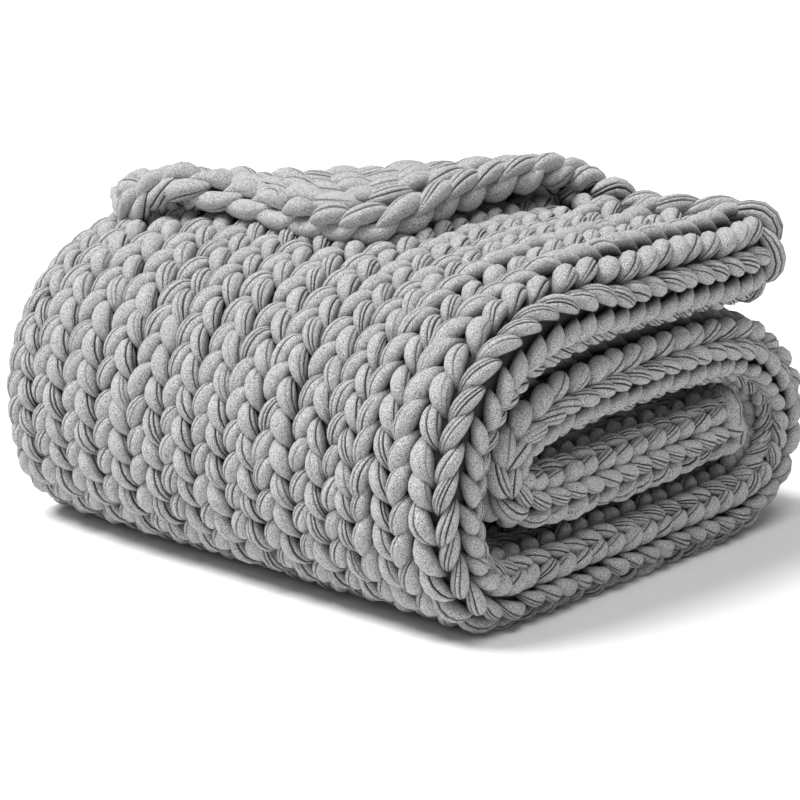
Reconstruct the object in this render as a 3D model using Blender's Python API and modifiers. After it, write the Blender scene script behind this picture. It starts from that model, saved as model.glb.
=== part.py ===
"""Chunky hand-knit weighted blanket, doubled along its length, rolled up flat and laid down.

The cloth is one closed shell. Its middle surface is a grid whose points are carried by one
fold function from cloth coordinates (wale, distance from the end edge) to space:
a lengthwise hairpin fold at +X, a flattened roll in the Y-Z plane, and the end of the upper
ply turned back over the left two thirds of the top. Metres, Z up, origin at the middle of
the underside.
"""

import bpy
import math
import numpy as np

NAME = "weighted_blanket"

# ---- driving sizes -------------------------------------------------------------------
WALE = 0.033                 # width of one knit column; every size below is in wales
FOLD_X = -1.21               # centre of the lengthwise fold, seen along the roll
PLY_WALES = 14.35            # wales in one ply, from the middle of the fold to the side edge
FOLD_WALES = 1.5             # wales that lie on the half circle of the fold
PLY_SHARE = 0.82             # thickness of a ply over its share of the doubled layer
PLY_MOST = 0.68              # greatest thickness of a ply
TURNED_THICK = 0.50          # thickness of the ply where it is turned back
LIFTED_THICK = 0.45          # thickness where its end lifts off the roll
RIB_RISE = 0.06              # how far a wale stands out of the ply's middle surface
LEFT_SAG = 0.09              # how much lower the side with the open edges sits
LEFT_DRAW = 0.07             # how much it draws in, front and back
SAG_FROM = 9.5               # wale where that starts
FLAT_LIFT = 0.045            # slice of the underside pressed flat by the weight

# The roll, seen from +X: y, z and half thickness of the doubled layer, from the end edge
# on top, round the front, along the floor, up the back and into the middle.
ROLL = (
    (11.50, 6.58, 1.18), (10.00, 6.78, 1.22), (7.50, 6.86, 1.24), (5.20, 6.86, 1.20),
    (3.30, 6.62, 1.12), (1.75, 5.98, 1.03), (0.85, 5.00, 0.95), (0.48, 3.90, 0.88),
    (0.42, 2.80, 0.86), (0.70, 1.70, 0.86), (1.55, 0.98, 0.86), (3.20, 0.86, 0.86),
    (6.00, 0.86, 0.86), (8.60, 0.86, 0.86), (10.40, 0.92, 0.86), (11.65, 1.38, 0.85),
    (12.25, 2.35, 0.84), (12.05, 3.45, 0.84), (11.00, 4.45, 0.85), (9.50, 4.88, 0.86),
    (7.30, 4.95, 0.88), (4.80, 4.88, 0.86), (3.15, 4.64, 0.76), (2.40, 4.24, 0.65),
    (2.05, 3.68, 0.53), (2.28, 3.10, 0.53), (3.00, 2.83, 0.67), (4.50, 2.80, 0.74),
    (7.30, 2.84, 0.75), (10.40, 2.90, 0.68),
)

# The turned-back end of the upper ply, a row per place along it, from the lengthwise fold
# to the open side: wale, length of roll given up to it, turn radius, degrees it turns
# through, degrees its crease swings off the roll's axis, its rim x, y, z, and how far it
# bows up between crease and rim.
TURNED = (
    (2.30, 1.7, 0.50, 0, 35, -2.95, 10.1, 7.60, 0.05),
    (3.10, 2.2, 0.46, 40, 35, -3.98, 9.85, 7.98, 0.05),
    (3.90, 2.4, 0.46, 85, 35, -4.72, 9.60, 8.42, 0.08),
    (4.50, 2.5, 0.46, 125, 35, -4.95, 8.95, 8.62, 0.10),
    (5.10, 2.8, 0.45, 160, 35, -5.15, 8.00, 8.66, 0.10),
    (5.70, 3.3, 0.44, 180, 35, -5.35, 6.95, 8.58, 0.10),
    (6.50, 4.3, 0.42, 180, 36, -5.40, 5.60, 8.45, 0.10),
    (7.30, 5.4, 0.41, 180, 33, -5.50, 4.40, 8.28, 0.10),
    (8.10, 6.3, 0.40, 180, 26, -6.10, 3.65, 8.12, 0.08),
    (8.90, 6.95, 0.40, 180, 18, -7.20, 3.45, 8.06, 0.05),
    (9.70, 7.3, 0.40, 180, 11, -8.40, 3.42, 8.05, 0.00),
    (10.5, 7.5, 0.40, 180, 5, -9.60, 3.40, 8.12, -0.08),
    (11.4, 7.6, 0.40, 180, 2, -10.9, 3.20, 8.26, -0.16),
    (12.3, 7.65, 0.40, 180, 0, -12.0, 3.00, 8.30, -0.18),
    (13.3, 7.7, 0.40, 180, 0, -13.1, 2.90, 8.10, -0.12),
    (14.35, 7.8, 0.40, 180, 0, -14.2, 2.85, 7.72, 0.0),
)

# ---- how finely it is cut -------------------------------------------------------------
ARC_CUTS = 8                 # faces round the lengthwise fold
INNER_CUTS = 6               # faces across the hidden ply past its first two wales
END_CUTS = 10                # faces from the rim of the turned-back end to its crease
END_LEAST = 2.0              # least length those faces cover where little is turned back
REST_CUTS = 4                # faces from there to END_REACH
END_REACH = 9.4              # distance from the end edge where all wales' rows line up
TURN_STEP = math.radians(23)  # largest bend between two rows of the roll
LONG_STEP = 3.2              # longest face along a straight run


def smooth_through(rows, per_span):
    """Return points on a smooth curve through `rows`, `per_span` to a span."""
    p = np.asarray(rows, float)
    q = np.vstack([2 * p[0] - p[1], p, 2 * p[-1] - p[-2]])
    out = []
    for i in range(len(p) - 1):
        a, b, c, d = q[i:i + 4]
        t = np.linspace(0, 1, per_span, endpoint=False)[:, None]
        out.append(0.5 * (2 * b + (c - a) * t + (2 * a - 5 * b + 4 * c - d) * t ** 2
                          + (3 * b - a - 3 * c + d) * t ** 3))
    return np.vstack(out + [p[-1:]])


def even(values, reach):
    """Return `values` with a running mean over 2 * reach + 1 places, ends kept."""
    pad = np.concatenate([2 * values[0] - values[reach:0:-1], values,
                          2 * values[-1] - values[-2:-reach - 2:-1]])
    return np.convolve(pad, np.ones(2 * reach + 1) / (2 * reach + 1), "valid")


class Roll:
    """The middle line of the doubled cloth, by distance from its end edge."""

    def __init__(self):
        raw = smooth_through(ROLL, 24)
        run = np.concatenate([[0], np.cumsum(np.hypot(*np.diff(raw[:, :2], axis=0).T))])
        self.length = float(run[-1])
        self.s = np.linspace(0, self.length, 800)
        self.y, self.z, self.t = (even(np.interp(self.s, run, raw[:, k]), 7) for k in range(3))
        dy, dz = np.gradient(self.y, self.s), np.gradient(self.z, self.s)
        size = np.hypot(dy, dz)
        self.ny, self.nz = dz / size, -dy / size
        self.turn = np.unwrap(np.arctan2(dz, dy))

    def at(self, s):
        """Return y, z, half thickness and the outward normal at distance s."""
        y, z, t, ny, nz = (np.interp(s, self.s, v)
                           for v in (self.y, self.z, self.t, self.ny, self.nz))
        size = np.hypot(ny, nz)
        return y, z, t, ny / size, nz / size


ROLLED = Roll()
EDGE = smooth_through(TURNED, 16)


def lying(wale, s, out=0.0):
    """Carry one cloth point to space while it lies on the roll.

    wale: negative on the outer ply, 0 on the fold, positive on the inner ply.
    s: distance from the end edge. out: distance from the ply's middle, knit face positive.
    """
    y, z, half, ny, nz = ROLLED.at(s)
    turn = np.clip(-wale / FOLD_WALES, -0.5, 0.5) * math.pi
    x = (FOLD_X + (half / 2 + out) * np.cos(turn)
         - np.maximum(np.abs(wale) - FOLD_WALES / 2, 0))
    high = (half / 2 + out) * np.sin(turn)
    y, z = y + high * ny, z + high * nz
    sag = np.clip((np.abs(wale) - SAG_FROM) / (PLY_WALES + 0.5 - SAG_FROM), 0, 1) ** 2
    return np.stack(np.broadcast_arrays(
        x, 6 + (y - 6) * (1 - LEFT_DRAW * sag), z * (1 - LEFT_SAG * sag)), -1)


def turned_section(wale):
    """Return the roll given up at one wale and its points from the rim to the crease."""
    place = max(-wale, EDGE[0, 0])
    given, radius, turn, swing, *rim, arch = (np.interp(place, EDGE[:, 0], EDGE[:, k])
                                              for k in range(1, 9))
    if place == EDGE[0, 0]:
        given = given * np.clip((-wale - 0.75) / (EDGE[0, 0] - 0.75), 0, 1)
    crease = lying(np.float64(wale), np.float64(given))
    if turn < 5:
        return given, crease[None, :]
    swing, turn = math.radians(swing), math.radians(turn)
    back, up = np.array([-math.sin(swing), math.cos(swing), 0]), np.array([0, 0, 1.0])
    bend = [crease + radius * (math.sin(a) * back + (1 - math.cos(a)) * up)
            for a in np.linspace(0, turn, 9)]
    last = [bend[-1] * (1 - k) + np.array(rim) * k + arch * math.sin(math.pi * k) * up
            for k in np.linspace(0.2, 1, 6)]
    return given, np.array(bend + last)[::-1]


def wale_points(wale):
    """Return the outer ply's points from its end up to END_REACH at one wale.

    The first END_CUTS faces run from the rim to the crease, so that the rows follow the
    crease across the cloth; the rest run on along the roll.
    """
    given, first = turned_section(wale)
    rest = lying(np.float64(wale), np.linspace(given, END_REACH, 40)[1:])
    path = np.vstack([first, rest])
    run = np.concatenate([[0], np.cumsum(np.linalg.norm(np.diff(path, axis=0), axis=1))])
    split = max(run[len(first) - 1], END_LEAST)
    stops = np.concatenate([np.linspace(0, split, END_CUTS + 1),
                            np.linspace(split, run[-1], REST_CUTS + 1)[1:]])
    return np.stack([np.interp(stops, run, path[:, k]) for k in range(3)], -1)


def across():
    """Return the wale coordinates of the grid: two faces to a wale where the cloth shows."""
    half = FOLD_WALES / 2
    outer = -np.append(np.arange(0.5, PLY_WALES, 0.5)[::-1][:-1], 0)[:-1]
    outer = np.append(-PLY_WALES, outer[outer < -half])
    fold = np.linspace(-half, half, ARC_CUTS + 1)
    near = np.array([1.25, 1.75, 2.25])
    far = np.linspace(2.25, PLY_WALES, INNER_CUTS + 1)[1:]
    return np.concatenate([outer, fold, near, far])


def along():
    """Return distances from the end edge for the rows of the roll past END_REACH."""
    rows, s = [END_REACH], END_REACH
    while s < ROLLED.length - 0.4:
        ahead = np.linspace(s, min(s + LONG_STEP, ROLLED.length), 60)
        bent = np.abs(np.interp(ahead, ROLLED.s, ROLLED.turn)
                      - np.interp(s, ROLLED.s, ROLLED.turn))
        s = float(ahead[bent <= TURN_STEP][-1])
        rows.append(min(s, ROLLED.length))
    rows[-1] = ROLLED.length
    return np.array(rows)


def rib(wale):
    """Return +1 on the crown of a wale and -1 in the groove beside it."""
    return np.cos(2 * math.pi * wale)


def middle_surface():
    """Return the folded grid's points, rows by wales, and the ply's thickness at each."""
    wales, rows = across(), along()
    near = np.concatenate([np.linspace(0, END_LEAST, END_CUTS + 1),
                           np.linspace(END_LEAST, END_REACH, REST_CUTS + 1)[1:-1]])
    grid = np.empty((len(near) + len(rows), len(wales), 3))
    thick = np.empty(grid.shape[:2])
    for j, wale in enumerate(wales):
        if wale < -FOLD_WALES / 2:
            grid[:len(near), j] = wale_points(wale)[:-1]
        else:
            grid[:len(near), j] = lying(wale, near)
        grid[len(near):, j] = lying(wale, rows)
        share = ROLLED.at(np.append(near, rows))[2] * PLY_SHARE
        thick[:, j] = np.minimum(share, PLY_MOST)
    turned = (np.arange(len(thick)) < END_CUTS)[:, None] & (wales < -2.4)[None, :]
    lifted = (wales > -5.2)[None, :]
    thick[turned] = TURNED_THICK
    thick[turned & lifted] = LIFTED_THICK
    return grid, thick, wales


def build_blanket(collection):
    """Fold the grid, give it thickness and lay it on the floor.

    Args:
        collection: the collection that takes the object.

    Returns:
        The finished object.
    """
    grid, thick, wales = middle_surface()
    n_rows, n_wales = grid.shape[:2]
    bpy.ops.mesh.primitive_grid_add(x_subdivisions=n_wales - 1, y_subdivisions=n_rows - 1,
                                    size=2.0)
    cloth = bpy.context.active_object
    cloth.name = cloth.data.name = "blanket"
    mesh = cloth.data
    flat = np.empty(len(mesh.vertices) * 3)
    mesh.vertices.foreach_get("co", flat)
    flat = flat.reshape(-1, 3)
    j = np.rint((flat[:, 0] + 1) / 2 * (n_wales - 1)).astype(int)
    i = np.rint((flat[:, 1] + 1) / 2 * (n_rows - 1)).astype(int)

    gi = np.gradient(grid, axis=0)
    gj = np.gradient(grid, axis=1)
    normal = np.cross(gj, gi)
    normal /= np.linalg.norm(normal, axis=2, keepdims=True)
    rise = RIB_RISE * rib(wales)[None, :, None] * np.ones((n_rows, 1, 1))
    shown = (np.abs(wales) > FOLD_WALES / 2)[None, :, None]
    under = (grid[:, :, 2:3] < 1.5) | (np.arange(n_rows) < END_CUTS + 1)[:, None, None]
    grid = grid + normal * rise * shown * ~under

    points = grid[i, j] * WALE
    mesh.vertices.foreach_set("co", points.ravel())
    group = cloth.vertex_groups.new(name="thickness")
    deepest = float(thick.max())
    for v, share in enumerate(thick[i, j] / deepest):
        group.add([v], float(share), "REPLACE")
    mesh.update()

    shell = cloth.modifiers.new("thickness", "SOLIDIFY")
    shell.thickness = deepest * WALE
    shell.offset = 0.0
    shell.use_even_offset = False
    shell.use_rim = True
    shell.vertex_group = "thickness"
    shell.thickness_vertex_group = 0.0
    bpy.context.view_layer.objects.active = cloth
    bpy.ops.object.modifier_apply(modifier=shell.name)
    cloth.vertex_groups.clear()
    mesh = cloth.data

    co = np.empty(len(mesh.vertices) * 3)
    mesh.vertices.foreach_get("co", co)
    co = co.reshape(-1, 3)
    floor = co[:, 2].min() + FLAT_LIFT * WALE
    co[:, 2] = np.maximum(co[:, 2], floor) - floor
    low, high = co.min(axis=0), co.max(axis=0)
    co[:, :2] -= (low + high)[:2] / 2
    mesh.vertices.foreach_set("co", co.ravel())
    mesh.update()
    bpy.ops.object.mode_set(mode="EDIT")
    bpy.ops.mesh.select_all(action="SELECT")
    bpy.ops.mesh.normals_make_consistent(inside=False)
    bpy.ops.object.mode_set(mode="OBJECT")
    for face in mesh.polygons:
        face.use_smooth = True
    for owner in list(cloth.users_collection):
        owner.objects.unlink(cloth)
    collection.objects.link(cloth)
    return cloth


def build_knit():
    """Return the material of the light grey jersey yarn."""
    knit = bpy.data.materials.new("knit")
    knit.use_nodes = True
    shade = knit.node_tree.nodes["Principled BSDF"]
    shade.inputs["Base Color"].default_value = (0.40, 0.40, 0.39, 1.0)
    shade.inputs["Roughness"].default_value = 0.95
    shade.inputs["Sheen Weight"].default_value = 0.25
    return knit


def main():
    """Clear the scene and build the blanket."""
    for old in list(bpy.data.objects):
        bpy.data.objects.remove(old, do_unlink=True)
    collection = bpy.data.collections.new(NAME)
    bpy.context.scene.collection.children.link(collection)
    cloth = build_blanket(collection)
    cloth.data.materials.append(build_knit())


main()
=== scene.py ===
"""Chunky hand-knit weighted blanket, doubled lengthwise, rolled up flat, one end turned back.

All cloth sizes are in wales, the width of one knit column; points reach metres through
FoldedCloth.carry, which lays a place on the flat knitting onto the folded blanket.
"""

import logging
import math
from dataclasses import dataclass, replace
from enum import Enum

import bpy
import numpy as np
from bpy.types import Material, Mesh, NodeSocket, NodeTree, Object
from mathutils import Matrix, Vector


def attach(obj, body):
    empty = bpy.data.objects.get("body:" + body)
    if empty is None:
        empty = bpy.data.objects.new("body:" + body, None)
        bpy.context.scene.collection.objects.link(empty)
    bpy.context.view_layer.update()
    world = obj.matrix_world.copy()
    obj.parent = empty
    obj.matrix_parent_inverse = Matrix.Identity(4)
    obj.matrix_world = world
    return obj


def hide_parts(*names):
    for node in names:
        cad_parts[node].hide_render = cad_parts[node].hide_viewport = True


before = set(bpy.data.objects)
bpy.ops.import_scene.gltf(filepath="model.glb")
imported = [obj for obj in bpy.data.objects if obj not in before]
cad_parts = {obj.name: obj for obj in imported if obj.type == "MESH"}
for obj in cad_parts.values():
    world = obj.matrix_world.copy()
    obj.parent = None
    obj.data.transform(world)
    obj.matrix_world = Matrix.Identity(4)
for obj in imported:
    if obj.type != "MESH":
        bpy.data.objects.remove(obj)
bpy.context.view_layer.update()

log = logging.getLogger("blanket")

WALE = 0.033    # metres to one knit column
ROWS = 81       # knit rows along the cloth
UP = np.array([0.0, 0.0, 1.0])
Array = np.ndarray


def smooth_through(rows: tuple, per_span: int) -> Array:
    """Return points on a smooth curve through some rows of numbers.

    Args:
        rows: the rows that the curve goes through.
        per_span: points to a span.

    Returns:
        One row to a point.
    """
    p = np.asarray(rows, float)
    q = np.vstack([2 * p[0] - p[1], p, 2 * p[-1] - p[-2]])
    out = []
    for i in range(len(p) - 1):
        a, b, c, d = q[i:i + 4]
        t = np.linspace(0, 1, per_span, endpoint=False)[:, None]
        out.append(0.5 * (2 * b + (c - a) * t + (2 * a - 5 * b + 4 * c - d) * t ** 2
                          + (3 * b - a - 3 * c + d) * t ** 3))
    return np.vstack(out + [p[-1:]])


def even(values: Array, reach: int) -> Array:
    """Return values with a running mean taken over them, ends kept.

    Args:
        values: a row of numbers.
        reach: places to each side that the mean is taken over.

    Returns:
        As many numbers.
    """
    pad = np.concatenate([2 * values[0] - values[reach:0:-1], values,
                          2 * values[-1] - values[-2:-reach - 2:-1]])
    return np.convolve(pad, np.ones(2 * reach + 1) / (2 * reach + 1), "valid")


def run_along(points: Array) -> Array:
    """Return the distance gone at each of a row of points."""
    steps = np.linalg.norm(np.diff(points, axis=0), axis=1)
    return np.concatenate([[0], np.cumsum(steps)])


def unit(v: Array) -> Array:
    """Return vectors at length one."""
    return v / np.maximum(np.linalg.norm(v, axis=-1, keepdims=True), 1e-9)


@dataclass
class FoldedCloth:
    """The folded blanket's own shape, and the way from flat knitting to it.

    The doubled cloth turns at fold_x, where fold_wales columns go round the fold, plumper
    by the share puff. From sag_from to the open side it sinks by the share left_sag and
    draws in by left_draw. placed is a row per column: the column and its place across. slip
    is a row per distance along: how far the columns near slip_at slip there. centre is the
    point of the folds that is the blanket's origin.

    roll is a row per place along the doubled cloth: y, z, half thickness. turned is a row
    per place along the turned-back end: place across, roll given up, radius and degrees of
    its bend, degrees that the bend leans, rim x, y, z and how far it arches between crease
    and rim; under least_turn degrees it isn't turned back. It can change the cloth up to
    end_reach from the end edge. It is worked out at points a cut apart, from margin outside
    the cloth to end_depth in from the edge, and used up to the place joins_at. The end edge
    by the fold curls by curl; curled is a row per place: the curl's shares up and sideways.
    """

    fold_x: float = -1.21
    ply_wales: float = 14.35
    fold_wales: float = 1.5
    left_sag: float = 0.09
    left_draw: float = 0.07
    sag_from: float = 9.5
    sag_past: float = 0.5
    sag_most: float = 1.2
    sag_about: float = 6.0
    puff: float = 0.10
    puff_reach: float = 2.0
    placed: tuple = (
        (-14.5, -14.9), (-13, -13.6), (-12, -12.55), (-11, -11.35), (-10, -10.2), (-9, -9.07),
        (-8, -8.08), (-5, -5.08), (-4.24, -4.28), (-3.83, -3.88), (-3.24, -3.36),
        (-2.83, -2.98), (-2.24, -2.57), (-1.83, -2.11), (-1.24, -1.50), (-0.83, -0.94),
        (-0.24, -0.45), (0.17, -0.06), (0.76, 0.38), (1.24, 0.80), (2, 1.75), (3, 2.9),
        (15, 15))
    slip: tuple = (
        (0, 0.40), (6, 0.40), (8.5, 0.10), (10, 0), (12.5, 0), (14.5, 0.12), (17, 0.30),
        (26, 0.30), (31, 0.45), (49, 0.45))
    slip_at: float = -0.8
    slip_reach: float = 1.6
    centre: tuple = (-7.5798, 6.3322, 0.0975)
    roll: tuple = (
        (11.50, 6.58, 1.18), (10.00, 6.78, 1.22), (7.50, 6.86, 1.24), (5.20, 6.86, 1.20),
        (3.30, 6.62, 1.12), (1.75, 5.98, 1.03), (0.85, 5.00, 0.95), (0.48, 3.90, 0.88),
        (0.42, 2.80, 0.86), (0.70, 1.70, 0.86), (1.55, 0.98, 0.86), (3.20, 0.86, 0.86),
        (6.00, 0.86, 0.86), (8.60, 0.86, 0.86), (10.40, 0.92, 0.86), (11.65, 1.38, 0.85),
        (12.25, 2.35, 0.84), (12.05, 3.45, 0.84), (11.00, 4.45, 0.85), (9.50, 4.88, 0.86),
        (7.30, 4.95, 0.88), (4.80, 4.88, 0.86), (3.15, 4.64, 0.76), (2.40, 4.24, 0.65),
        (2.05, 3.68, 0.53), (2.28, 3.10, 0.53), (3.00, 2.83, 0.67), (4.50, 2.80, 0.74),
        (7.30, 2.84, 0.75), (10.40, 2.90, 0.68))
    turned: tuple = (
        (2.30, 1.7, 0.50, 0, 35, -2.95, 10.1, 7.60, 0.05),
        (3.10, 2.2, 0.46, 40, 35, -3.98, 9.85, 7.98, 0.05),
        (3.90, 2.4, 0.46, 85, 35, -4.72, 9.60, 8.42, 0.08),
        (4.50, 2.5, 0.46, 125, 35, -4.95, 8.95, 8.62, 0.10),
        (5.10, 2.8, 0.45, 160, 35, -5.15, 8.00, 8.66, 0.10),
        (5.70, 3.3, 0.44, 180, 35, -5.35, 6.95, 8.58, 0.10),
        (6.50, 4.3, 0.42, 180, 36, -5.40, 5.60, 8.45, 0.10),
        (7.30, 5.4, 0.41, 180, 33, -5.50, 4.35, 8.22, 0.10),
        (8.10, 6.3, 0.40, 180, 26, -6.10, 3.52, 8.00, 0.08),
        (8.90, 6.95, 0.40, 180, 18, -7.20, 3.32, 7.94, 0.05),
        (9.70, 7.3, 0.40, 180, 11, -8.40, 3.32, 7.96, 0.00),
        (10.5, 7.5, 0.40, 180, 5, -9.60, 3.40, 8.12, -0.08),
        (11.4, 7.6, 0.40, 180, 2, -10.9, 3.20, 8.26, -0.16),
        (12.3, 7.65, 0.40, 180, 0, -11.65, 3.00, 8.40, -0.22),
        (13.3, 7.7, 0.40, 180, 0, -12.65, 2.90, 7.95, -0.20),
        (14.35, 7.8, 0.40, 180, 0, -13.75, 2.95, 7.02, -0.1))
    least_turn: float = 5.0
    end_reach: float = 9.4
    cut: float = 0.125
    margin: float = 1.0
    end_depth: float = 12.0
    joins_at: float = 0.4
    curl: float = 0.34
    curl_reach: float = 0.9
    curled: tuple = (
        (-4.2, 0, 0), (-3.2, 1, 0), (-1.0, 1, 0.1), (-0.3, 0.9, 0.6), (0.6, 0.35, 0.6),
        (1.6, 0, 0))

    def __post_init__(self) -> None:
        """Measure the roll and spread the cloth near its end on a grid."""
        self._measure_roll()
        self._spread_end()

    def _measure_roll(self) -> None:
        """Set the doubled cloth's middle line, thickness and way, by distance along it."""
        per_span, places, reach = 24, 800, 7
        raw = smooth_through(self.roll, per_span)
        run = run_along(raw[:, :2])
        self.length = float(run[-1])
        self.s = np.linspace(0, self.length, places)
        self.y, self.z, self.t = (even(np.interp(self.s, run, column), reach)
                                  for column in raw.T)
        dy, dz = np.gradient(self.y, self.s), np.gradient(self.z, self.s)
        size = np.hypot(dy, dz)
        self.ty, self.tz = dy / size, dz / size

    def _spread_end(self) -> None:
        """Set the grid of the cloth near its end, turned back, and its ways outwards."""
        per_span, passes = 16, 2
        self.edge = smooth_through(self.turned, per_span)
        self.grid_w = np.arange(-self.ply_wales - self.margin, self.joins_at + self.cut / 2,
                                self.cut)
        self.grid_d = np.arange(-self.margin, self.end_depth, self.cut)
        found = [self._end_path(w) for w in self.grid_w]
        self.grid = np.stack([f[0] for f in found])
        self.turned_run = np.array([f[1] for f in found])
        self.given = np.array([f[2] for f in found])
        for axis in (0, 1):
            lines = np.moveaxis(self.grid, axis, 0)
            for _ in range(passes):
                lines[1:-1] = 0.25 * lines[:-2] + 0.5 * lines[1:-1] + 0.25 * lines[2:]
        gw, gd = np.gradient(self.grid, self.cut, axis=(0, 1))
        self.grid_up = unit(np.cross(gd, gw))

    def _end_path(self, wale: float) -> tuple:
        """Return the outer ply's middle line at one wale by distance from its rim.

        Args:
            wale: the column, by its place across the folded cloth.

        Returns:
            Its points, the length turned back and the roll given up to it.
        """
        bend_steps, lay_steps = 13, 10     # points round the bend, and on to the rim
        first = self.edge[0, 0]
        place = float(np.clip(-wale, first, self.edge[-1, 0]))
        given, radius, turn, swing, *rim, arch = (
            np.interp(place, self.edge[:, 0], column) for column in self.edge.T[1:])
        d = self.grid_d
        if place == first:
            given = given * float(self._from_fold(wale))
        flat = np.full(len(d), wale)
        if turn < self.least_turn or place == first:
            return self.lying(flat, given + d, np.zeros(len(d))), 0.0, given
        crease = self.lying(np.array([wale]), np.array([given]), np.zeros(1))[0]
        swing, turn = math.radians(swing), math.radians(turn)
        back = np.array([-math.sin(swing), math.cos(swing), 0.0])
        rim = np.array(rim) + np.array([min(wale + self.ply_wales, 0.0), 0.0, 0.0])
        bend = [crease + radius * (math.sin(a) * back + (1 - math.cos(a)) * UP)
                for a in np.linspace(0, turn, bend_steps)]
        lay = [bend[-1] * (1 - k) + rim * k + arch * math.sin(math.pi * k) * UP
               for k in np.linspace(1 / lay_steps, 1, lay_steps)]
        path = np.array(bend + lay)[::-1]
        run = run_along(path)
        out = np.stack([np.interp(d, run, path[:, k]) for k in range(3)], -1)
        out = np.where((d < 0)[:, None], path[0] - d[:, None] * unit(path[0] - path[1]), out)
        lain = self.lying(flat, given + d - run[-1], np.zeros(len(d)))
        return np.where((d > run[-1])[:, None], lain, out), float(run[-1]), given

    def _from_fold(self, wale: Array) -> Array:
        """Return the share of the way from the fold to the first column turned back."""
        start = self.fold_wales / 2
        return np.clip((-wale - start) / (self.edge[0, 0] - start), 0, 1)

    def spread(self, wale: Array, s: Array) -> Array:
        """Return where a column lies across the folded cloth at a distance along it.

        Args:
            wale: the column, negative on the outer ply, positive inside.
            s: distance from the end edge.

        Returns:
            The places across.
        """
        column, place = np.array(self.placed, float).T
        run, slid = np.array(self.slip, float).T
        fade = np.exp(-((wale - self.slip_at) / self.slip_reach) ** 2)
        return np.interp(wale, column, place) + np.interp(s, run, slid) * fade

    def lying(self, wale: Array, s: Array, out: Array) -> Array:
        """Carry places across the folded cloth to the roll, the turned-back end left out.

        Args:
            wale: place across, negative on the outer ply, 0 on the fold, positive inside.
            s: distance from the end edge.
            out: distance from the ply's middle, knit face positive.

        Returns:
            Points in wales.
        """
        s_in = np.clip(s, 0, self.length)
        y, z, half, ty, tz = (np.interp(s_in, self.s, v)
                              for v in (self.y, self.z, self.t, self.ty, self.tz))
        half = half * (1 + self.puff * np.exp(-(wale / self.puff_reach) ** 2))
        size = np.hypot(ty, tz)
        ty, tz = ty / size, tz / size
        y, z = y + ty * (s - s_in), z + tz * (s - s_in)
        turn = np.clip(-wale / self.fold_wales, -0.5, 0.5) * math.pi
        x = (self.fold_x + (half / 2 + out) * np.cos(turn)
             - np.maximum(np.abs(wale) - self.fold_wales / 2, 0))
        high = (half / 2 + out) * np.sin(turn)
        y, z = y + high * tz, z - high * ty
        place, lift, draw = np.array(self.curled, float).T
        near = self.curl * np.exp(
            -(np.maximum(s - self.held_back(wale), 0) / self.curl_reach) ** 2)
        z = z + near * np.interp(wale, place, lift)
        x = x - near * np.interp(wale, place, draw)
        sag = np.clip((np.abs(wale) - self.sag_from)
                      / (self.ply_wales + self.sag_past - self.sag_from),
                      0, self.sag_most) ** 2
        return np.stack([x, self.sag_about + (y - self.sag_about) * (1 - self.left_draw * sag),
                         z * (1 - self.left_sag * sag)], -1)

    def held_back(self, wale: Array) -> Array:
        """Return how much of the roll is given up to the turned-back end at each place."""
        given = np.interp(-np.asarray(wale, float), self.edge[:, 0], self.edge[:, 1])
        return given * self._from_fold(wale)

    def turned_length(self, wale: Array) -> Array:
        """Return how much of the cloth is turned back at each column."""
        return np.interp(self.spread(wale, 0.0), self.grid_w, self.turned_run)

    def given_up(self, wale: Array) -> Array:
        """Return how much of the roll the turned-back end leaves free at each column."""
        return np.interp(self.spread(wale, 0.0), self.grid_w, self.given)

    def carry(self, wale: Array, s: Array, out: Array, from_rim: bool = False) -> Array:
        """Carry places on the knitting to the folded blanket by column, as laid does."""
        wale, s, out = np.broadcast_arrays(np.asarray(wale, float), s, out)
        return self.laid(self.spread(wale, s * (not from_rim)), s, out, from_rim)

    def laid(self, wale: Array, s: Array, out: Array, from_rim: bool = False) -> Array:
        """Carry places across the folded cloth to the folded blanket.

        Args:
            wale: place across, negative on the outer ply, 0 on the fold, positive inside.
            s: distance from the end edge on the roll, or from the real rim.
            out: distance from the ply's middle, knit face positive.
            from_rim: whether s is the distance from the rim, over the turned-back end.

        Returns:
            Points in metres, set down on the floor.
        """
        wale, s, out = np.broadcast_arrays(np.asarray(wale, float), s, out)
        spot = self.lying(wale, s, out)
        on = (wale < self.joins_at) if from_rim else np.zeros(wale.shape, bool)
        if on.any():
            spot = spot.copy()
            last = 1.001              # keeps a place inside the grid's last span
            fw = np.clip((wale[on] - self.grid_w[0]) / self.cut, 0, len(self.grid_w) - last)
            fs = np.clip((s[on] - self.grid_d[0]) / self.cut, 0, len(self.grid_d) - last)
            i, j = fw.astype(int), fs.astype(int)
            a, b = (fw - i)[:, None], (fs - j)[:, None]

            def at(grid: Array) -> Array:
                """Return a grid's values between its points."""
                return ((grid[i, j] * (1 - a) + grid[i + 1, j] * a) * (1 - b)
                        + (grid[i, j + 1] * (1 - a) + grid[i + 1, j + 1] * a) * b)

            spot[on] = at(self.grid) + unit(at(self.grid_up)) * out[on][:, None]
        return (spot - np.array(self.centre)) * WALE


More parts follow.
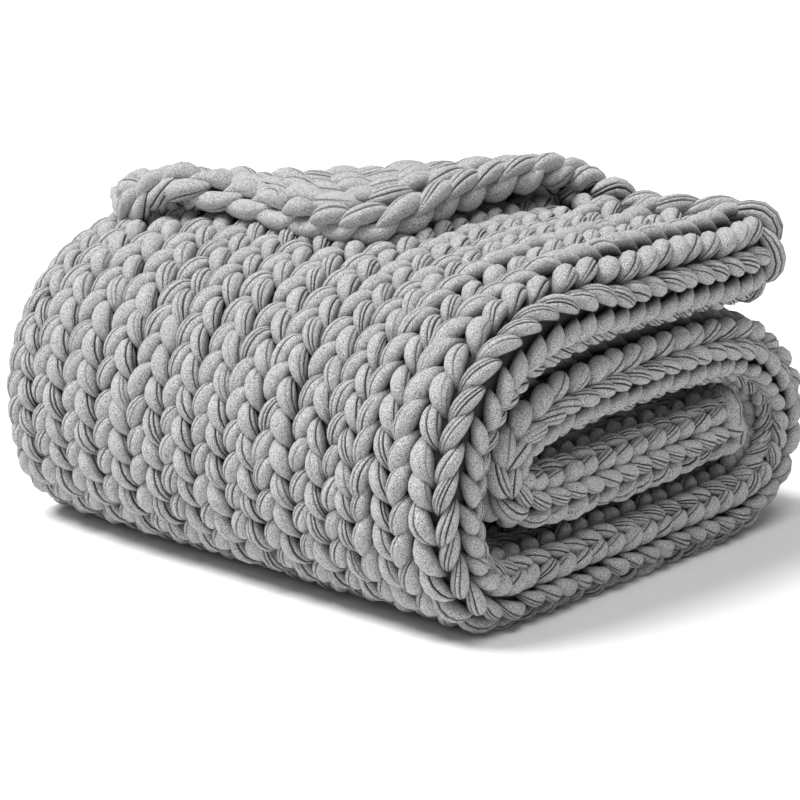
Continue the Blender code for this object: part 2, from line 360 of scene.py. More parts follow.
class Rim:
    """One end edge of the folded cloth, as a carrier for the chain along it.

    It carries (distance along the edge, distance in from it, distance out) as the cloth
    carries (column, distance from the end, distance out), so that links never stretch.
    Its ways inwards and outwards are taken inset from the edge and rise out of the cloth.
    """

    cuts: int = 900
    inset: float = 0.3
    rise: float = 0.2
    evened: int = 12

    def __init__(self, cloth: FoldedCloth, start: float, stop: float, far: bool) -> None:
        """Measure the edge between two places across the folded cloth.

        Args:
            cloth: the folded cloth.
            start: where the edge starts, across the folded cloth.
            stop: where it stops.
            far: whether it is the end rolled inside.
        """
        across = np.linspace(start, stop, self.cuts)
        at, step = (cloth.length, -self.inset) if far else (0.0, self.inset)
        self.points = cloth.laid(across, at, 0.0, not far)
        inner = cloth.laid(across, at + step, 0.0, not far)
        self.inward = unit(inner - self.points)
        self.outward = unit(cloth.laid(across, at + step, self.rise, not far) - inner)
        self.run = run_along(self.points) / WALE
        self.length = float(self.run[-1])
        for row in (self.inward, self.outward):
            for k in range(3):
                row[:, k] = even(row[:, k], self.evened)

    def spread(self, place: Array, s: Array) -> Array:
        """Return the place itself: the edge has no closer or wider stretches."""
        return place + 0 * s

    def carry(self, place: Array, s: Array, out: Array, from_rim: bool = False) -> Array:
        """Carry places beside the edge to the folded blanket, as the cloth's carry does.

        Args:
            place: distance along the edge.
            s: distance in from it.
            out: distance from the ply's middle, knit face positive.
            from_rim: not needed here, as the edge is the rim itself.

        Returns:
            Points in metres, set down on the floor.
        """
        place, s, out = np.broadcast_arrays(place, s, out)

        def at(rows: Array) -> Array:
            """Return rows of vectors at the places."""
            return np.stack([np.interp(place, self.run, rows[:, k]) for k in range(3)], -1)

        return (at(self.points) + unit(at(self.inward)) * s[..., None] * WALE
                + unit(at(self.outward)) * out[..., None] * WALE)


class Fineness(Enum):
    """How finely a strand is cut: points round it and rings along it."""

    CLOSE = (16, 11)
    COARSE = (12, 8)


@dataclass(frozen=True)
class StrandShape:
    """One plump stretch of yarn, by numbers along its length.

    path_u, path_s and path_out are its middle line across the columns, along the rows and
    out of the cloth, in wales from its stitch's place. taper is the share of the half width
    and half depth. creases are the angles of its first two creases from its side, swing is
    how far they wind round it, and creased is the share of crease_depth for each of three.
    shaded is how much painted shade darkens it where it sinks into the cloth.
    """

    path_u: tuple
    path_s: tuple
    path_out: tuple
    taper: tuple
    width: float
    depth: float
    creases: tuple = (1.0, 1.9)
    swing: float = 0.0
    crease_depth: float = 0.06
    creased: tuple = (0.6, 0.9, 0.3)
    shaded: float = 1.0
    fineness: Fineness = Fineness.CLOSE

    def by_ring(self, values: tuple) -> Array:
        """Return one number to a ring, on a smooth row through a few given ones.

        Args:
            values: the given ones, at even places from end to end.

        Returns:
            A row of the numbers.
        """
        per_span = 12
        fine = smooth_through(tuple((v,) for v in values), per_span)[:, 0]
        steps = self.fineness.value[1]
        return np.interp(np.linspace(0, 1, steps), np.linspace(0, 1, len(fine)), fine)[None, :]


@dataclass(frozen=True)
class Unevenness:
    """How much strands differ, each as one standard deviation.

    length, plump and deep are shares; across, along and out move a strand, in wales; first,
    apart and swing are angles of its creases, and spot is where along it they are deepest.
    """

    length: float = 0.04
    across: float = 0.018
    along: float = 0.03
    out: float = 0.015
    plump: float = 0.05
    first: float = 0.16
    apart: float = 0.14
    swing: float = 0.35
    deep: float = 0.75
    spot: float = 0.2


@dataclass
class StrandRow:
    """Strands of one shape, one at each of many places, wrapped in creased yarn.

    carrier is the folded cloth or one of its rims. Each strand is at its column in wales and
    its distance in rows from the end edge, or with from_rim from the turned-back rim. It
    fills its column as far as least_room, most_room and, on the turned-back end, most_turned
    let it. lip and least_apart are angles round it: from a crease's floor to its lip, and
    between two creases. A crease is deepest at its place in deepest and fades by fade from
    fade_from; its painted shade is wholly dark at a depth of marked. Painted shade darkens the
    yarn where it sinks into the cloth, from sunk_from off the ply's middle inwards, over
    sunk_over. nudge is how far out a second point is taken, for the way out of the cloth.
    """

    carrier: FoldedCloth | Rim
    shape: StrandShape
    wales: Array
    rows: Array
    rng: np.random.Generator
    from_rim: bool = False
    uneven: Unevenness = Unevenness()
    least_room: float = 0.9
    most_room: float = 1.12
    most_turned: float = 1.5
    room_ring: int = 3
    lip: float = 0.12
    least_apart: float = 0.40
    deepest: tuple = (0.50, 0.40, 0.60)
    fade_from: float = 1.5
    fade: float = 2.6
    most_share: float = 1.5
    most_dent: float = 0.4
    marked: float = 0.04
    # painted shade where the yarn sinks into the cloth: where it starts, and over how far it
    # deepens
    sunk_from: float = 0.34
    sunk_over: float = 0.30
    nudge: float = 0.05

    def vary(self, scale: float) -> Array:
        """Return one small random number for each strand."""
        return self.rng.normal(0, scale, (len(self.wales), 1))

    def room(self, s: Array) -> Array:
        """Return how wide the columns lie where the strands are, as a share.

        Args:
            s: distance of each strand's rings from the end edge.

        Returns:
            One share to a strand.
        """
        near = np.asarray(self.wales, float)[:, None]
        if self.from_rim:
            at = s[:, self.room_ring:self.room_ring + 1]
            left, right = (self.carrier.carry(near + k, at, 0.0, True) for k in (-0.5, 0.5))
            wide = np.linalg.norm(right - left, axis=2) / WALE
            return np.clip(wide, self.least_room, self.most_turned)
        left, right = (self.carrier.spread(near + k, s[:, :1]) for k in (-0.5, 0.5))
        return np.clip(right - left, self.least_room, self.most_room)

    def crease_angles(self, tau: Array) -> Array:
        """Return the angles of three creases at each ring of each strand.

        Args:
            tau: how far along its strand each ring is.

        Returns:
            Angles by strand, ring and crease.
        """
        n, steps = len(self.wales), tau.shape[1]
        first, second = self.shape.creases
        start = (first + self.vary(self.uneven.first))[:, :, None]
        apart = np.stack([np.maximum(second - first + self.vary(self.uneven.apart),
                                     self.least_apart) for _ in range(2)], 2)
        turns = np.cumsum(np.concatenate([np.broadcast_to(start, (n, steps, 1)),
                                          np.broadcast_to(apart, (n, steps, 2))], axis=2),
                          axis=2)
        swing = self.shape.swing + self.vary(self.uneven.swing)
        return turns + (swing * (tau - 0.5))[:, :, None]

    def ring_angles(self, turns: Array) -> Array:
        """Return the angle of every point: each crease's lips and floor, then the rest.

        Args:
            turns: angles of the creases.

        Returns:
            Angles by strand, ring and point, in order round the ring.
        """
        lips = np.stack([turns - self.lip, turns, turns + self.lip], axis=3)
        lips = lips.reshape(*turns.shape[:2], -1)
        under = turns[:, :, :1] - turns[:, :, 2:] - 2 * self.lip + 2 * math.pi
        others = self.shape.fineness.value[0] - lips.shape[2]
        rest = lips[:, :, -1:] + under * np.linspace(0, 1, others + 2)[None, None, 1:-1]
        return np.concatenate([lips, rest], axis=2)

    def dents(self, theta: Array, tau: Array) -> Array:
        """Return how deep the creases press in at every point.

        Args:
            theta: angles of the points.
            tau: how far along its strand each ring is.

        Returns:
            Depths in wales by strand, ring and point.
        """
        dent = np.zeros(theta.shape)
        floors = (1, 4, 7)            # each crease's floor, between its two lips
        for slot, share, spot in zip(floors, self.shape.creased, self.deepest):
            deep = self.shape.crease_depth * np.clip(share + self.vary(self.uneven.deep),
                                                     0, self.most_share)
            off = np.abs(tau - spot + self.vary(self.uneven.spot))
            dent[:, :, slot] = deep * np.clip(self.fade_from - off * self.fade, 0, 1)
        return dent

    def build(self) -> dict:
        """Wrap the creased yarn round each strand's middle line.

        Returns:
            Arrays co, faces, crease, sunk and shade: crease and sunk mask the painted shade in
                the
            creases and where the yarn sinks into the cloth; shade is each strand's own random
            number.
        """
        shape, uneven, n = self.shape, self.uneven, len(self.wales)
        ring, steps = shape.fineness.value
        tau = np.linspace(0, 1, steps)[None, :]
        grow = 1 + self.vary(uneven.length)
        u = shape.by_ring(shape.path_u) * grow + self.vary(uneven.across)
        q = shape.by_ring(shape.path_s) * grow + self.vary(uneven.along)
        out = shape.by_ring(shape.path_out) + self.vary(uneven.out)
        taper = shape.by_ring(shape.taper)
        wale = np.asarray(self.wales, float)[:, None] + u
        s = np.asarray(self.rows, float)[:, None] + q
        room = self.room(s)
        half_w = shape.width * taper * room * (1 + self.vary(uneven.plump)) * WALE
        room = np.minimum(room, self.most_room)
        half_d = shape.depth * taper * room * (1 + self.vary(uneven.plump)) * WALE

        spine = self.carrier.carry(wale, s, out, self.from_rim)
        above = self.carrier.carry(wale, s, out + self.nudge, self.from_rim)
        ahead = unit(np.gradient(spine, axis=1))
        across = unit(np.cross(ahead, above - spine))
        up = np.cross(across, ahead)

        theta = self.ring_angles(self.crease_angles(tau))
        dent = self.dents(theta, tau)
        # Painted shade in the creases: wholly dark where a crease presses in as deep as
        # marked.
        shade_mask = np.clip(dent / self.marked, 0, 1)
        wide, tall = (half[:, :, None] - np.minimum(dent * WALE,
                                                    self.most_dent * half[:, :, None])
                      for half in (half_w, half_d))
        co = (spine[:, :, None] + across[:, :, None] * (np.cos(theta) * wide)[..., None]
              + up[:, :, None] * (np.sin(theta) * tall)[..., None])
        co[..., 2] = np.maximum(co[..., 2], 0.0)
        # Painted shade: the nearer the yarn lies to the ply's middle, where it sinks into the
        # cloth, the darker it is painted.
        rise = np.abs(out[:, :, None] + np.sin(theta) * tall / WALE)
        sunk_shade = np.clip((self.sunk_from - rise) / self.sunk_over, 0, 1) * shape.shaded
        return {"co": co.reshape(-1, 3), "faces": ring_faces(n, steps, ring),
                "crease": shade_mask.reshape(-1), "sunk_shade": sunk_shade.reshape(-1),
                "shade": np.repeat(self.rng.uniform(0, 1, n), steps * ring)}


def ring_faces(n: int, steps: int, ring: int) -> list:
    """Return the faces of many closed tubes of rings, ends capped.

    Args:
        n: how many tubes.
        steps: rings in a tube.
        ring: points in a ring.

    Returns:
        Arrays of quads and of end polygons, indexed over all the tubes.
    """
    i, j = np.meshgrid(np.arange(steps - 1), np.arange(ring), indexing="ij")
    k = (j + 1) % ring
    quads = np.stack([i * ring + j, (i + 1) * ring + j, (i + 1) * ring + k, i * ring + k],
                     -1).reshape(-1, 4)
    caps = np.stack([np.arange(ring), (steps - 1) * ring + np.arange(ring)[::-1]])
    start = np.arange(n) * steps * ring
    return [(start[:, None, None] + quads).reshape(-1, 4),
            (start[:, None, None] + caps).reshape(-1, ring)]


def add_piece(mesh: Mesh, material: Material) -> Object:
    """Return a new smooth piece of one finish, named as its mesh is.

    Args:
        mesh: its mesh, with its place in it.
        material: its finish.

    Returns:
        The object, in the scene.
    """
    mesh.polygons.foreach_set("use_smooth", np.ones(len(mesh.polygons), bool))
    mesh.materials.append(material)
    piece = bpy.data.objects.new(mesh.name, mesh)
    bpy.context.scene.collection.objects.link(piece)
    return piece


def make_object(name: str, parts: list, material: Material) -> Object:
    """Join arrays of yarn into one mesh object.

    Args:
        name: the piece's name.
        parts: what StrandRow.build returned, once for each kind.
        material: the yarn's finish.

    Returns:
        The finished object.
    """
    offset, co, loops, totals = 0, [], [], []
    for part in parts:
        co.append(part["co"])
        for block in part["faces"]:
            loops.append((block + offset).reshape(-1))
            totals.append(np.full(len(block), block.shape[1]))
        offset += len(part["co"])
    co, loops, totals = (np.concatenate(x) for x in (co, loops, totals))
    mesh = bpy.data.meshes.new(name)
    mesh.vertices.add(len(co))
    mesh.vertices.foreach_set("co", co.ravel())
    mesh.loops.add(len(loops))
    mesh.loops.foreach_set("vertex_index", loops.astype(np.int32))
    mesh.polygons.add(len(totals))
    starts = np.concatenate([[0], np.cumsum(totals)[:-1]])
    mesh.polygons.foreach_set("loop_start", starts.astype(np.int32))
    mesh.update(calc_edges=True)
    mesh.validate()
    # crease and sunk carry the painted shade; shade is each strand's random number
    for key in ("crease", "sunk_shade", "shade"):
        layer = mesh.attributes.new(key, "FLOAT", "POINT")
        layer.data.foreach_set("value", np.concatenate([p[key] for p in parts]))
    return add_piece(mesh, material)


def new_material(name: str, inputs: dict) -> Material:
    """Return a new material with some inputs of its shader set.

    Args:
        name: its name.
        inputs: values by the name of the input.

    Returns:
        The material.
    """
    material = bpy.data.materials.new(name)
    material.use_nodes = True
    shade = material.node_tree.nodes["Principled BSDF"]
    for key, value in inputs.items():
        shade.inputs[key].default_value = value
    return material


@dataclass(frozen=True)
class Speckle:
    """Fine specks of one colour: its darkest share where the noise is low, its lightest
    where it is high.
    """

    scale: float
    detail: float
    low: float
    high: float
    darkest: float
    lightest: float

    def add(self, tree: NodeTree, colour: tuple) -> tuple:
        """Add the specks to a material.

        Args:
            tree: the material's nodes.
            colour: the colour that they scatter about.

        Returns:
            The sockets of the noise and of the speckled colour.
        """
        place = tree.nodes.new("ShaderNodeTexCoord")
        grain = tree.nodes.new("ShaderNodeTexNoise")
        grain.inputs["Scale"].default_value = self.scale
        grain.inputs["Detail"].default_value = self.detail
        ramp = tree.nodes.new("ShaderNodeValToRGB")
        for stop, at, share in zip(ramp.color_ramp.elements, (self.low, self.high),
                                   (self.darkest, self.lightest)):
            stop.position = at
            stop.color = (*(min(c * share, 1) for c in colour), 1)
        tree.links.new(place.outputs["Object"], grain.inputs["Vector"])
        tree.links.new(grain.outputs["Fac"], ramp.inputs["Fac"])
        return grain.outputs["Fac"], ramp.outputs["Color"]


@dataclass(frozen=True)
class YarnFinish:
    """Light grey brushed jersey, drawn into a plump tube.

    A crease_shade_power under 1 keeps the painted shade in a crease dark for longer;
    bump_height is in metres.
    """

    name: str = "jersey_yarn"
    colour: tuple = (0.40, 0.401, 0.398)
    # painted shade in the creases, and how long it stays dark
    crease_shade_colour: tuple = (0.02, 0.02, 0.021)
    crease_shade_power: float = 0.42
    # painted shade where the yarn sinks into the cloth
    sunk_shade_colour: tuple = (0.032, 0.032, 0.032)
    roughness: float = 0.92
    specular: float = 0.2
    sheen: float = 0.2
    sheen_roughness: float = 0.6
    grain: Speckle = Speckle(scale=1900.0, detail=0.5, low=0.41, high=0.59,
                             darkest=0.36, lightest=1.62)
    bump: float = 0.5
    bump_height: float = 0.0005

    def build(self) -> Material:
        """Build the material: specks, painted shade in the creases and where the yarn sinks
        into the cloth, and relief.

        Returns:
            The material.
        """
        mat = new_material(self.name, {
            "Roughness": self.roughness, "Specular IOR Level": self.specular,
            "Sheen Weight": self.sheen, "Sheen Roughness": self.sheen_roughness})
        tree = mat.node_tree
        shade = tree.nodes["Principled BSDF"]
        noise, colour = self.grain.add(tree, self.colour)
        # painted shade where the yarn sinks into the cloth, then in its creases
        colour = self.paint_shade(tree, colour, "sunk_shade", 1.0, self.sunk_shade_colour)
        colour = self.paint_shade(tree, colour, "crease", self.crease_shade_power, self.crease_shade_colour)
        tree.links.new(colour, shade.inputs["Base Color"])
        bump = tree.nodes.new("ShaderNodeBump")
        bump.inputs["Strength"].default_value = self.bump
        bump.inputs["Distance"].default_value = self.bump_height
        tree.links.new(noise, bump.inputs["Height"])
        tree.links.new(bump.outputs["Normal"], shade.inputs["Normal"])
        return mat

    @staticmethod
    def paint_shade(tree: NodeTree, colour: NodeSocket, key: str,
               power: float, dark: tuple) -> NodeSocket:
        """Mix painted shade in where an attribute of the piece marks it.

        Args:
            tree: the material's nodes.
            colour: the colour so far.
            key: the attribute's name.
            power: power that its value is raised to.
            dark: the colour of the painted shade.

        Returns:
            The socket of the mixed colour.
        """
        shade_mask = tree.nodes.new("ShaderNodeAttribute")
        shade_mask.attribute_name = key
        curve = tree.nodes.new("ShaderNodeMath")
        curve.operation = "POWER"
        curve.inputs[1].default_value = power
        mix = tree.nodes.new("ShaderNodeMix")
        mix.data_type = "RGBA"
        mix.inputs["B"].default_value = (*dark, 1)
        tree.links.new(shade_mask.outputs["Fac"], curve.inputs[0])
        tree.links.new(curve.outputs["Value"], mix.inputs["Factor"])
        tree.links.new(colour, mix.inputs["A"])
        return mix.outputs["Result"]


@dataclass(frozen=True)
class InnerShadeFinish:
    """Painted shade for the inside of the knitting: a dark grey seen only between its strands.
    """

    name: str = "painted_inner_shade"
    # painted shade: a dark grey where only shade falls between the strands
    colour: tuple = (0.065, 0.065, 0.065)
    grain: Speckle = Speckle(scale=400.0, detail=2.0, low=0.0, high=1.0,
                             darkest=0.6, lightest=1.5)

    def build(self) -> Material:
        """Build the material: dull specks of painted shade only.

        Returns:
            The material.
        """
        mat = new_material(self.name, {"Roughness": 1.0, "Specular IOR Level": 0.0})
        tree = mat.node_tree
        colour = self.grain.add(tree, self.colour)[1]
        tree.links.new(colour, tree.nodes["Principled BSDF"].inputs["Base Color"])
        return mat


@dataclass(frozen=True)
class Block:
    """Columns and rows of stitches, and how finely their strands are cut.

    from_rim says that the rows are those of the turned-back end, and on_fold that the block
    is by the fold, which draws its legs longer.
    """

    columns: range
    rows: range
    fineness: Fineness = Fineness.CLOSE
    from_rim: bool = False
    on_fold: bool = False


@dataclass
class Knitting:
    """The yarn of the blanket: legs on the knit face, bumps on the purl face, its edges.

    row_start is how many rows the chain takes up at the end edge.
    """

    cloth: FoldedCloth
    finish: YarnFinish = YarnFinish()
    left: StrandShape = StrandShape(
        path_u=(0.07, -0.06, -0.17, -0.26, -0.34, -0.40, -0.44),
        path_s=(-0.16, -0.03, 0.12, 0.30, 0.49, 0.67, 0.84),
        path_out=(-0.12, 0.10, 0.21, 0.23, 0.18, 0.06, -0.14),
        taper=(0.06, 0.50, 0.86, 1.0, 0.93, 0.64, 0.10),
        width=0.232, depth=0.205, creases=(0.72, 1.16), swing=0.35, crease_depth=0.085,
        creased=(0.9, 0.8, 0.2))
    right: StrandShape = StrandShape(
        path_u=(-0.04, 0.01, 0.08, 0.17, 0.28, 0.41, 0.55),
        path_s=(-0.05, 0.11, 0.29, 0.49, 0.69, 0.89, 1.08),
        path_out=(-0.18, 0.02, 0.17, 0.23, 0.19, 0.03, -0.22),
        taper=(0.03, 0.40, 0.80, 1.02, 0.82, 0.42, 0.02),
        width=0.232, depth=0.225, creases=(1.85, 2.35), swing=-0.4, crease_depth=0.085,
        creased=(-0.2, 0.5, -0.2))
    fold_left: StrandShape = replace(
        left, path_u=(0.06, -0.05, -0.13, -0.20, -0.26, -0.31, -0.35),
        path_s=(-0.16, 0.01, 0.20, 0.40, 0.60, 0.80, 0.99),
        creases=(0.80, 1.25), creased=(0.8, 0.9, 0.2))
    fold_right: StrandShape = replace(
        right, path_u=(0.06, 0.13, 0.21, 0.30, 0.40, 0.50, 0.60),
        path_s=(-0.16, 0.02, 0.20, 0.39, 0.58, 0.77, 0.96),
        path_out=(-0.17, 0.02, 0.16, 0.22, 0.19, 0.04, -0.20),
        taper=(0.03, 0.42, 0.82, 1.0, 0.84, 0.44, 0.02), width=0.228)
    head: StrandShape = StrandShape(
        path_u=(-0.50, -0.38, -0.20, 0.0, 0.20, 0.38, 0.50),
        path_s=(-0.16, 0.04, 0.19, 0.24, 0.19, 0.04, -0.16),
        path_out=(0.06, -0.15, -0.29, -0.33, -0.29, -0.15, 0.06),
        taper=(0.10, 0.66, 0.96, 1.08, 0.96, 0.66, 0.10),
        width=0.19, depth=0.19, creases=(-1.5, -0.95), crease_depth=0.07,
        creased=(0.6, 0.6, 0.0), shaded=0.45)
    sinker: StrandShape = replace(
        head, path_u=(0.0, 0.12, 0.30, 0.50, 0.70, 0.88, 1.0),
        path_s=(0.18, -0.02, -0.15, -0.19, -0.15, -0.02, 0.18),
        path_out=(0.06, -0.12, -0.24, -0.28, -0.24, -0.12, 0.06),
        width=0.185, creases=(-2.2, -1.6))
    link: StrandShape = StrandShape(
        path_u=(-0.80, -0.54, -0.26, 0.02, 0.30, 0.56, 0.78),
        path_s=(0.44, 0.40, 0.28, 0.12, -0.01, -0.08, -0.02),
        path_out=(-0.12, 0.07, 0.20, 0.25, 0.20, 0.06, -0.12),
        taper=(0.06, 0.56, 0.90, 1.02, 0.90, 0.54, 0.06),
        width=0.265, depth=0.25, creases=(0.75, 1.30), swing=0.5, crease_depth=0.085,
        creased=(0.8, 0.9, 0.5), shaded=0.0)
    link_back: StrandShape = replace(
        link, path_s=(-0.02, -0.08, -0.03, 0.08, 0.22, 0.36, 0.42),
        path_out=(0.12, -0.06, -0.18, -0.22, -0.18, -0.05, 0.12),
        width=0.25, depth=0.24, creases=(-2.1, -1.5))
    selvedge: StrandShape = StrandShape(
        path_u=(0.10, 0.02, -0.04, -0.06, -0.04, 0.02, 0.10),
        path_s=(-0.15, 0.07, 0.29, 0.51, 0.73, 0.95, 1.15),
        path_out=(0.08, 0.10, 0.08, 0.02, -0.04, -0.08, -0.10),
        taper=(0.08, 0.55, 0.90, 1.0, 0.90, 0.55, 0.08),
        width=0.24, depth=0.24, creases=(1.6, 2.3), shaded=0.0,
        fineness=Fineness.COARSE)
    link_pitch: float = 0.92
    row_start: float = 0.8
    seed: int = 11

    def __post_init__(self) -> None:
        """Set the row pitch and the source of the differences between strands."""
        self.pitch = self.cloth.length / ROWS
        self.rng = np.random.default_rng(self.seed)

    def lay(self, shape: StrandShape, wales: Array, rows: Array,
            from_rim: bool = False) -> dict:
        """Return the arrays of one strand at each place on the cloth."""
        return StrandRow(self.cloth, shape, wales, rows, self.rng, from_rim).build()

    def row_places(self, rows: range) -> Array:
        """Return how far from the end edge each row is."""
        return (np.array(rows) + self.row_start) * self.pitch

    def places(self, block: Block) -> tuple:
        """Return column and distance of each stitch of a block that is really there.

        Args:
            block: the block.

        Returns:
            The columns and the distances.
        """
        short, over = 0.3, 0.15       # left out before the crease, and kept beyond it
        wales = np.repeat(np.array(block.columns, float), len(block.rows))
        s = np.tile(self.row_places(block.rows), len(block.columns))
        if block.from_rim:
            keep = s < self.cloth.turned_length(wales) - short
        else:
            keep = (wales > 0) | (s > self.cloth.given_up(wales) - over)
        return wales[keep], s[keep]

    def legs(self, block: Block) -> list:
        """Return both legs of each stitch of a block.

        Args:
            block: the block.

        Returns:
            The left legs' arrays and the right legs'.
        """
        wales, s = self.places(block)
        pair = ((self.fold_left, self.fold_right) if block.on_fold
                else (self.left, self.right))
        return [self.lay(replace(shape, fineness=block.fineness), wales, s, block.from_rim)
                for shape in pair]

    def bumps(self, block: Block) -> list:
        """Return the head and sinker loops of a block, on the purl face.

        Args:
            block: the block.

        Returns:
            The heads' arrays and the sinkers'.
        """
        head_at, sinker_at = 0.32, 0.46
        wales, s = self.places(block)
        return [self.lay(replace(shape, fineness=block.fineness), wales, s + shift,
                         block.from_rim)
                for shape, shift in ((self.head, head_at), (self.sinker, sinker_at))]

    def links(self, rim: Rim) -> list:
        """Return the chain along an end edge, its links spread evenly from end to end.

        Args:
            rim: the end edge.

        Returns:
            The front strands' arrays and the back strands'.
        """
        first = -min(self.link.path_u)
        places = np.linspace(first, rim.length - first, round(rim.length / self.link_pitch))
        return [StrandRow(rim, shape, places, np.zeros(len(places)), self.rng).build()
                for shape in (self.link, self.link_back)]

    def outer_side(self, column: float = -13.62, start: float = 0.2) -> list:
        """Return the strands along the outer ply's open side.

        Args:
            column: the column that they run along.
            start: how far from the turned-back rim the first one is.

        Returns:
            The arrays of those on the roll and of those on the turned-back end.
        """
        rows = self.row_places(range(ROWS - 1))
        rows = rows[rows > self.cloth.given_up(column)]
        near = np.arange(start, float(self.cloth.turned_length(column)), self.pitch)
        return [self.lay(self.selvedge, np.full(len(rows), column), rows),
                self.lay(self.selvedge, np.full(len(near), column), near, from_rim=True)]

    def inner_side(self, column: float = 14.1, last_column: float = 14.0) -> list:
        """Return the strands along the inner ply's open side.

        Args:
            column: the column that they run along.
            last_column: the column that is its last, with left legs only.

        Returns:
            The side strands' arrays and the left legs'.
        """
        rows = self.row_places(range(ROWS - 1))
        side = replace(self.selvedge, path_u=tuple(-v for v in self.selvedge.path_u))
        last = replace(self.left, fineness=Fineness.COARSE)
        return [self.lay(side, np.full(len(rows), column), rows),
                self.lay(last, np.full(len(rows), last_column), rows)]

    def build(self) -> list:
        """Lay all the yarn of the blanket.

        Returns:
            The pieces, each a stretch of rows, a face or an edge.
        """
        coarse, edge, core_edge = Fineness.COARSE, self.cloth.ply_wales, 3.0
        wide, fold, inner = range(-13, -2), range(-2, 1), range(1, 3)
        end, front, under, back, core = (range(0, 18), range(18, 33), range(33, 48),
                                         range(48, 65), range(65, ROWS - 1))
        turned, seen = range(0, 10), range(0, 14)
        blocks = {
            "knit_end": self.legs(Block(wide, end)) + self.legs(Block(inner, end)),
            "knit_front": self.legs(Block(wide, front)) + self.legs(Block(inner, front)),
            "knit_under": self.legs(Block(wide, under, coarse))
            + self.legs(Block(inner, under)),
            "knit_back": self.legs(Block(wide, back)) + self.legs(Block(inner, back)),
            "knit_fold": self.legs(Block(fold, range(0, core.start), on_fold=True)),
            "knit_core": self.legs(Block(range(-3, 3), core, on_fold=True)),
            "knit_turned": self.legs(Block(wide, turned, from_rim=True)),
            "knit_left": self.legs(Block(range(-13, -11), core, coarse))
            + self.legs(Block(range(13, 14), range(0, core.stop), coarse))
            + self.outer_side() + self.inner_side(),
            "purl_left": self.bumps(Block(range(-13, -12), range(15, core.stop), coarse))
            + self.bumps(Block(range(13, 14), range(seen.stop, core.stop), coarse)),
            "purl_turned": self.bumps(Block(wide, turned, from_rim=True)),
            "purl_inside": self.bumps(Block(range(1, 14), seen, coarse)),
            "end_chain": self.links(Rim(self.cloth, -edge, edge, False)),
            "core_chain": self.links(Rim(self.cloth, -core_edge, core_edge, True)),
        }
        material = self.finish.build()
        return [make_object(name, parts, material) for name, parts in blocks.items()]


@dataclass
class Ground:
    """The thin middle of the cloth that the yarn covers on both faces, finished in painted
    shade.
    """

    cloth: FoldedCloth
    half: float = 0.05
    cut: float = 0.45
    inset: float = 0.1

    def points_over(self, size: float) -> int:
        """Return how many points a length takes."""
        return round(size / self.cut) + 1

    @staticmethod
    def faces(rows: int, cols: int) -> Array:
        """Return the faces of a sheet whose lower points follow its upper ones.

        Args:
            rows: points across it.
            cols: points along it.

        Returns:
            Its quads: both sides and the strip round the edge.
        """
        i, j = np.meshgrid(np.arange(rows - 1), np.arange(cols - 1), indexing="ij")
        p = (i * cols + j).ravel()
        top = np.stack([p, p + 1, p + cols + 1, p + cols], -1)
        rim = np.concatenate([np.arange(cols), np.arange(1, rows) * cols + cols - 1,
                              (rows - 1) * cols + np.arange(cols - 1)[::-1],
                              np.arange(1, rows - 1)[::-1] * cols])
        after, below = np.roll(rim, -1), rows * cols
        return np.concatenate([top, top[:, ::-1] + below,
                               np.stack([rim, rim + below, after + below, after], -1)])

    def build(self) -> Object:
        """Build the closed thin sheet on the blanket's folds.

        Returns:
            The finished object.
        """
        cloth, reach = self.cloth, self.cloth.end_reach
        edge = cloth.ply_wales - self.inset
        wales = np.linspace(-edge, edge, self.points_over(2 * edge))[:, None]
        turned, given = (np.interp(wales, cloth.grid_w, v)
                         for v in (cloth.turned_run, cloth.given))
        bare = np.where(wales < cloth.joins_at, turned + reach - given, reach)
        near = np.linspace(0, 1, self.points_over(reach))[None, :]
        near = self.inset + near * (bare - self.inset)
        far = np.linspace(reach, cloth.length - self.inset,
                          self.points_over(cloth.length - reach))[None, 1:]
        sides = [np.concatenate([cloth.laid(wales, near, k, from_rim=True),
                                 cloth.laid(wales, far, k)], axis=1)
                 for k in (self.half, -self.half)]
        co = np.concatenate([side.reshape(-1, 3) for side in sides])
        mesh = bpy.data.meshes.new("cloth_ground")
        mesh.from_pydata(co.tolist(), [], self.faces(*sides[0].shape[:2]).tolist())
        mesh.validate()
        # the sheet's dark finish is painted shade between the strands
        return add_piece(mesh, InnerShadeFinish().build())


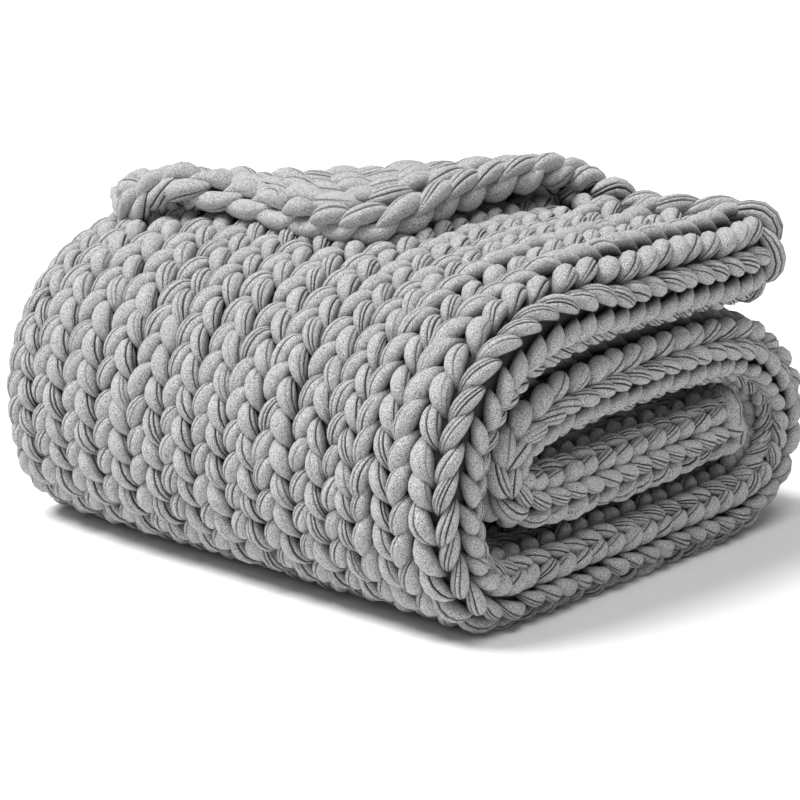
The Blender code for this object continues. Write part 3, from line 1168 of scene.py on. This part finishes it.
@dataclass
class Studio:
    """Floor, soft light and camera.

    focal and anchor are in dots of the picture, and depth is in wales: anchor and depth say
    where the folds' own zero point is seen. suns is a row per lamp: way, strength, softness.
    """

    pitch: float = 15.808
    azimuth: float = 41.72
    picture: int = 800
    focal: float = 2933.13
    anchor: tuple = (473.531, 667.283)
    depth: float = 61.456
    sensor: float = 36.0
    suns: tuple = (((-0.32, -0.38, 0.87), 3.4, 23.0), ((0.28, -0.20, 0.94), 1.25, 30.0))
    sky_power: float = 0.20
    floor_size: float = 30.0
    floor_grey: float = 0.93

    def build(self, cloth: FoldedCloth) -> None:
        """Add the camera, the lights and the floor.

        Args:
            cloth: the folded cloth that the camera is placed by.
        """
        self._add_camera(cloth)
        self._add_floor()
        bpy.context.scene.view_settings.view_transform = "Standard"
        self._add_light()

    def _add_camera(self, cloth: FoldedCloth) -> None:
        """Add the camera and make it the scene's own.

        Args:
            cloth: the folded cloth that it is placed by.
        """
        t, a = math.radians(self.pitch), math.radians(self.azimuth)
        right = np.array([math.cos(a), math.sin(a), 0])
        ahead = np.array([-math.sin(a), math.cos(a), 0]) * math.cos(t) - UP * math.sin(t)
        up = np.cross(right, ahead)
        middle = self.picture / 2
        u, v = ((self.anchor[0] - middle) / self.focal, (middle - self.anchor[1]) / self.focal)
        place = -self.depth * (ahead + u * right + v * up)
        place = (place - np.array(cloth.centre)) * WALE
        data = bpy.data.cameras.new("camera")
        data.lens, data.sensor_width = self.sensor * self.focal / self.picture, self.sensor
        camera = bpy.data.objects.new("camera", data)
        turn = Matrix((right, up, -ahead)).transposed()
        camera.matrix_world = Matrix.Translation(place) @ turn.to_4x4()
        bpy.context.scene.collection.objects.link(camera)
        bpy.context.scene.camera = camera

    def _add_floor(self) -> None:
        """Add the plain pale floor."""
        bpy.ops.mesh.primitive_plane_add(size=self.floor_size, location=(0, 0, 0))
        floor = bpy.context.object
        floor.name = "floor"
        floor.data.materials.append(new_material("floor_paper", {
            "Base Color": (*[self.floor_grey] * 3, 1), "Roughness": 0.9,
            "Specular IOR Level": 0.1}))

    def _add_light(self) -> None:
        """Add the even light from all round and the lamps."""
        world = bpy.data.worlds.new("studio")
        bpy.context.scene.world = world
        world.use_nodes = True
        sky = world.node_tree.nodes["Background"]
        sky.inputs["Color"].default_value = (1, 1, 1, 1)
        sky.inputs["Strength"].default_value = self.sky_power
        for way, power, softness in self.suns:
            lamp = bpy.data.lights.new("soft_sun", "SUN")
            lamp.energy, lamp.angle = power, math.radians(softness)
            holder = bpy.data.objects.new("soft_sun", lamp)
            holder.rotation_mode = "QUATERNION"
            holder.rotation_quaternion = Vector(way).to_track_quat("Z", "Y")
            holder.location = way
            bpy.context.scene.collection.objects.link(holder)


def main() -> None:
    """Build the blanket and its studio."""
    logging.basicConfig(level=logging.INFO, format="%(message)s")
    bpy.ops.object.select_all(action="DESELECT")
    cloth = FoldedCloth()
    Studio().build(cloth)
    ground = Ground(cloth).build()
    yarn = Knitting(cloth).build()
    for piece in [ground, *yarn]:
        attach(piece, "root")
        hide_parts("blanket")
        piece.data.calc_loop_triangles()
        log.info("%s: %d triangles", piece.name, len(piece.data.loop_triangles))


if __name__ == "__main__":
    main()
